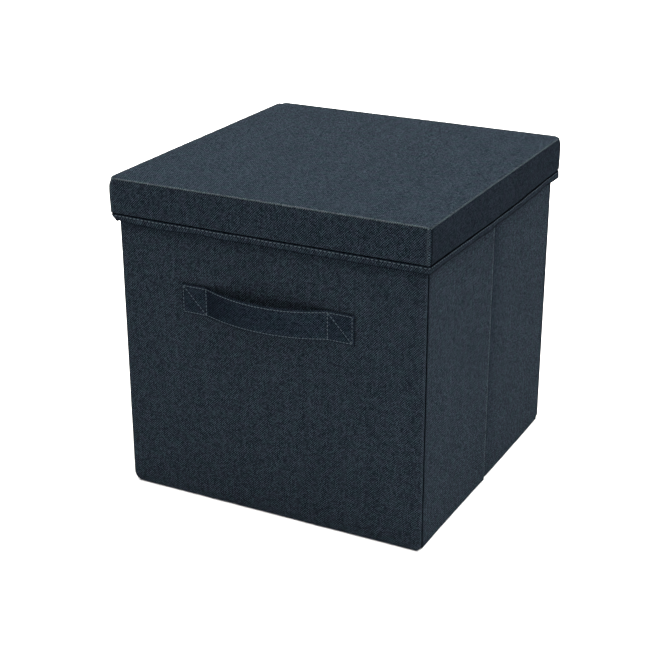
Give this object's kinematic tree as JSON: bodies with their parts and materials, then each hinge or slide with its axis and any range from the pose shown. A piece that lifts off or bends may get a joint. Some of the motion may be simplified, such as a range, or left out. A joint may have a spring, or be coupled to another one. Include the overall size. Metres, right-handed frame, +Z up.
{
  "type": "fabric storage box",
  "caption": "Foldable fabric storage box with stiffened cloth walls, strap handle, pleated inward-folding sides, flip-up base insert and lift-off lid.",
  "frame": {"origin": "centre of the floor under the box, on the surface it stands on", "axes": "+Z up; the front, with the strap handle, faces -Y; +X is the right side seen from the front"},
  "size_m": [0.33, 0.3446, 0.32],
  "materials": {
    "outer_cloth": "matt heathered weave",
    "strap_cloth": "matt heathered weave",
    "lining_cloth": "matt non-woven",
    "greyboard": "matt pressed board",
    "thread": "twisted sewing thread"
  },
  "bodies": {
    "back": {"back_wall_cover": "outer_cloth", "back_wall_board": "greyboard", "back_wall_lining": "lining_cloth", "rear_corner_cloth_right": "outer_cloth", "rear_corner_cloth_left": "outer_cloth", "floor_cloth": "outer_cloth", "back_handle": "strap_cloth"},
    "front": {"front_wall_cover": "outer_cloth", "front_wall_board": "greyboard", "front_wall_lining": "lining_cloth", "front_handle": "strap_cloth"},
    "right_rear": {"right_rear_cover": "outer_cloth", "right_rear_board": "greyboard", "right_rear_lining": "lining_cloth"},
    "right_front": {"right_front_cover": "outer_cloth", "right_front_board": "greyboard", "right_front_lining": "lining_cloth"},
    "left_rear": {"left_rear_cover": "outer_cloth", "left_rear_board": "greyboard", "left_rear_lining": "lining_cloth"},
    "left_front": {"left_front_cover": "outer_cloth", "left_front_board": "greyboard", "left_front_lining": "lining_cloth"},
    "base": {"base_cover": "outer_cloth", "base_board": "greyboard", "base_lining": "lining_cloth"},
    "lid": {"lid_top_cover": "outer_cloth", "lid_top_board": "greyboard", "lid_top_lining": "lining_cloth", "lid_skirt_front_cover": "outer_cloth", "lid_skirt_front_board": "greyboard", "lid_skirt_front_lining": "lining_cloth", "lid_skirt_back_cover": "outer_cloth", "lid_skirt_back_board": "greyboard", "lid_skirt_back_lining": "lining_cloth", "lid_skirt_right_cover": "outer_cloth", "lid_skirt_right_board": "greyboard", "lid_skirt_right_lining": "lining_cloth", "lid_skirt_left_cover": "outer_cloth", "lid_skirt_left_board": "greyboard", "lid_skirt_left_lining": "lining_cloth", "lid_hem_front": "outer_cloth", "lid_hem_back": "outer_cloth", "lid_hem_right": "outer_cloth", "lid_hem_left": "outer_cloth"}
  },
  "joints": [
    {"name": "lid_lift", "type": "slide", "parent": "back", "child": "lid", "axis": [0, 0, 1], "range_m": [0, 0.2]},
    {"name": "side_fold", "type": "hinge", "parent": "back", "child": "right_rear", "pos_m": [0.1545, 0.1524, 0], "axis": [0, 0, -1], "range_deg": [0, 88]},
    {"name": "right_middle_fold", "type": "hinge", "parent": "right_rear", "child": "right_front", "pos_m": [0.1605, -0.00185, 0], "axis": [0, 0, 1], "range_deg": [0, 176]},
    {"name": "right_front_corner", "type": "hinge", "parent": "right_front", "child": "front", "pos_m": [0.1545, -0.1561, 0], "axis": [0, 0, -1], "range_deg": [0, 88]},
    {"name": "left_rear_corner", "type": "hinge", "parent": "back", "child": "left_rear", "pos_m": [-0.1545, 0.1524, 0], "axis": [0, 0, 1], "range_deg": [0, 88]},
    {"name": "left_middle_fold", "type": "hinge", "parent": "left_rear", "child": "left_front", "pos_m": [-0.1605, -0.00185, 0], "axis": [0, 0, -1], "range_deg": [0, 176]},
    {"name": "base_flip", "type": "hinge", "parent": "back", "child": "base", "pos_m": [0, 0.1562, 0.0044], "axis": [-1, 0, 0], "range_deg": [0, 90]}
  ],
  "couplings": [
    {"joint": "right_middle_fold", "follows": "side_fold", "ratio": 2},
    {"joint": "right_front_corner", "follows": "side_fold", "ratio": 1},
    {"joint": "left_rear_corner", "follows": "side_fold", "ratio": 1},
    {"joint": "left_middle_fold", "follows": "side_fold", "ratio": 2}
  ]
}
